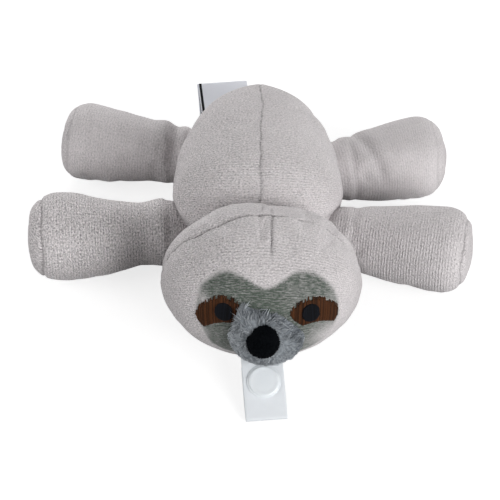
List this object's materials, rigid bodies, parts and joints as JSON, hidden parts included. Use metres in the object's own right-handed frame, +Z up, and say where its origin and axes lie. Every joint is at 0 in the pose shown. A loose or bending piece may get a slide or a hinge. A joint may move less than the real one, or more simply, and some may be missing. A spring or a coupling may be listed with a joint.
{
  "type": "plush pacifier holder",
  "caption": "Soft plush sloth lying on its belly with spread limbs, and a folded ribbon strap with a snap under its muzzle that holds a pacifier",
  "frame": {"origin": "the middle of the flat patch of the belly that rests on the floor", "axes": "+Z up, -Y towards the head and the strap, +X across the body towards the animal's left limbs, which a viewer in front of the face sees on the right"},
  "size_m": [0.1725, 0.1708, 0.055],
  "materials": {
    "plush": "short knitted plush, warm grey",
    "filling": "loose white polyester filling",
    "long_pile": "longer blue-grey pile",
    "black_pile": "short black pile",
    "brown_thread": "brown satin-stitch embroidery",
    "black_thread": "blue-black satin-stitch embroidery",
    "ribbon": "white satin ribbon",
    "snap_plastic": "glossy white moulded plastic"
  },
  "bodies": {
    "torso": {"back_panel_left": "plush", "back_panel_right": "plush", "belly_panel": "plush", "torso_filling": "filling"},
    "head": {"face_panel": "plush", "nape_panel": "plush", "head_filling": "filling", "muzzle_panel": "long_pile", "muzzle_filling": "filling", "nose": "black_pile", "eye_patch_left": "brown_thread", "pupil_left": "black_thread", "eye_patch_right": "brown_thread", "pupil_right": "black_thread"},
    "arm_left": {"arm_left_sleeve": "plush", "arm_left_sole": "plush", "arm_left_filling": "filling"},
    "arm_right": {"arm_right_sleeve": "plush", "arm_right_sole": "plush", "arm_right_filling": "filling"},
    "leg_left": {"leg_left_sleeve": "plush", "leg_left_sole": "plush", "leg_left_filling": "filling"},
    "leg_right": {"leg_right_sleeve": "plush", "leg_right_sole": "plush", "leg_right_filling": "filling"},
    "strap": {"strap_upper_leaf": "ribbon", "snap_cap": "snap_plastic", "snap_socket": "snap_plastic"},
    "strap_flap": {"strap_lower_leaf": "ribbon", "snap_stud": "snap_plastic", "snap_base_cap": "snap_plastic"},
    "label": {"side_label": "ribbon"}
  },
  "joints": [
    {"name": "head_nod", "type": "hinge", "parent": "torso", "child": "head", "pos_m": [0.001, -0.037, 0.025], "axis": [-1, 0, 0], "range_deg": [-12, 15], "stiffness_Nm_per_rad": 0.03},
    {"name": "arm_left_flop", "type": "hinge", "parent": "torso", "child": "arm_left", "pos_m": [-0.0375, -0.025, 0.0145], "axis": [0, 1, 0], "range_deg": [-30, 45], "stiffness_Nm_per_rad": 0.008},
    {"name": "arm_right_flop", "type": "hinge", "parent": "torso", "child": "arm_right", "pos_m": [0.0375, -0.0282, 0.0145], "axis": [0, -1, 0], "range_deg": [-30, 45], "stiffness_Nm_per_rad": 0.008},
    {"name": "leg_left_flop", "type": "hinge", "parent": "torso", "child": "leg_left", "pos_m": [-0.0375, 0.0226, 0.0145], "axis": [0, 1, 0], "range_deg": [-30, 45], "stiffness_Nm_per_rad": 0.008},
    {"name": "leg_right_flop", "type": "hinge", "parent": "torso", "child": "leg_right", "pos_m": [0.0375, 0.0125, 0.0145], "axis": [0, -1, 0], "range_deg": [-30, 45], "stiffness_Nm_per_rad": 0.008},
    {"name": "strap_swing", "type": "hinge", "parent": "head", "child": "strap", "pos_m": [0.0013, -0.0871, 0.0116], "axis": [-0.9962, -0.0872, 0], "range_deg": [-45, 25]},
    {"name": "strap_open", "type": "hinge", "parent": "strap", "child": "strap_flap", "pos_m": [0.00301, -0.10668, 0.00105], "axis": [-0.9962, -0.0872, 0], "range_deg": [0, 160]},
    {"name": "label_flap", "type": "hinge", "parent": "torso", "child": "label", "pos_m": [-0.01225, 0.03624, 0.02], "axis": [0.9945, 0.1045, 0], "range_deg": [-35, 15], "stiffness_Nm_per_rad": 0.0006}
  ]
}
